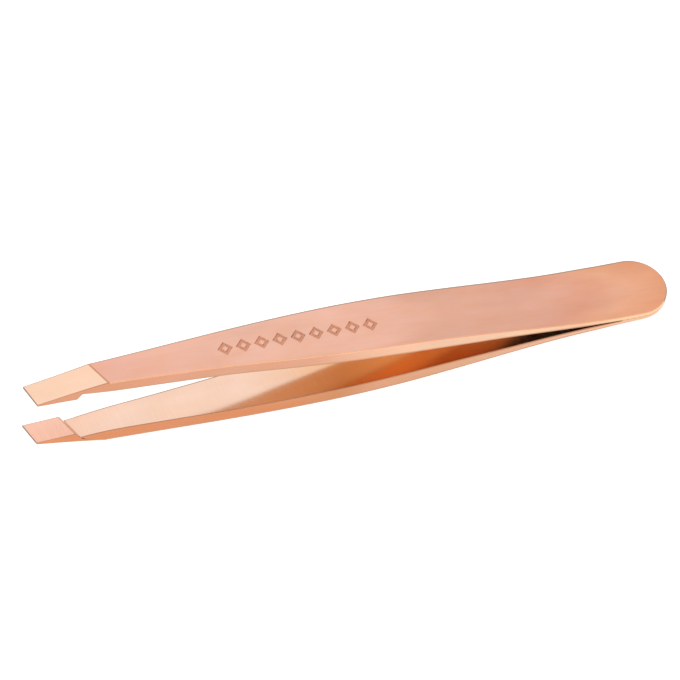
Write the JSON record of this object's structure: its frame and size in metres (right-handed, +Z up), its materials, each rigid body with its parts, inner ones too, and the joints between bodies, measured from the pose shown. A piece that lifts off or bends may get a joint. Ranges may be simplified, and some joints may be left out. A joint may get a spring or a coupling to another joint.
{
  "type": "slant tweezers",
  "caption": "Slant-tip tweezers: sprung steel blades welded at a round tail, with slanted jaw pads and ground outer bevels at the tips.",
  "frame": {"origin": "middle of the bottom of the whole object's box, as it lies on its lower blade", "axes": "+Z up, tips along -X, tail along +X, Y across the blades"},
  "size_m": [0.0952, 0.0098, 0.0145],
  "materials": {
    "satin_rose_gold": "satin rose-gold coating over brushed stainless steel",
    "weld_seam": "ground flush and coated with the blades"
  },
  "bodies": {
    "tail": {"upper_heel": "satin_rose_gold", "lower_heel": "satin_rose_gold", "tail_weld": "weld_seam"},
    "upper_blade": {"upper_arm": "satin_rose_gold"},
    "lower_blade": {"lower_arm": "satin_rose_gold"}
  },
  "joints": [
    {"name": "upper_squeeze", "type": "hinge", "parent": "tail", "child": "upper_blade", "pos_m": [0.03163, 0, 0.00355], "axis": [0, -1, 0], "range_deg": [0, 3], "stiffness_Nm_per_rad": 4},
    {"name": "lower_squeeze", "type": "hinge", "parent": "tail", "child": "lower_blade", "pos_m": [0.0315, 0, 0.00179], "axis": [0, 1, 0], "range_deg": [0, 3], "stiffness_Nm_per_rad": 4}
  ],
  "couplings": [
    {"joint": "lower_squeeze", "follows": "upper_squeeze", "ratio": 1}
  ]
}
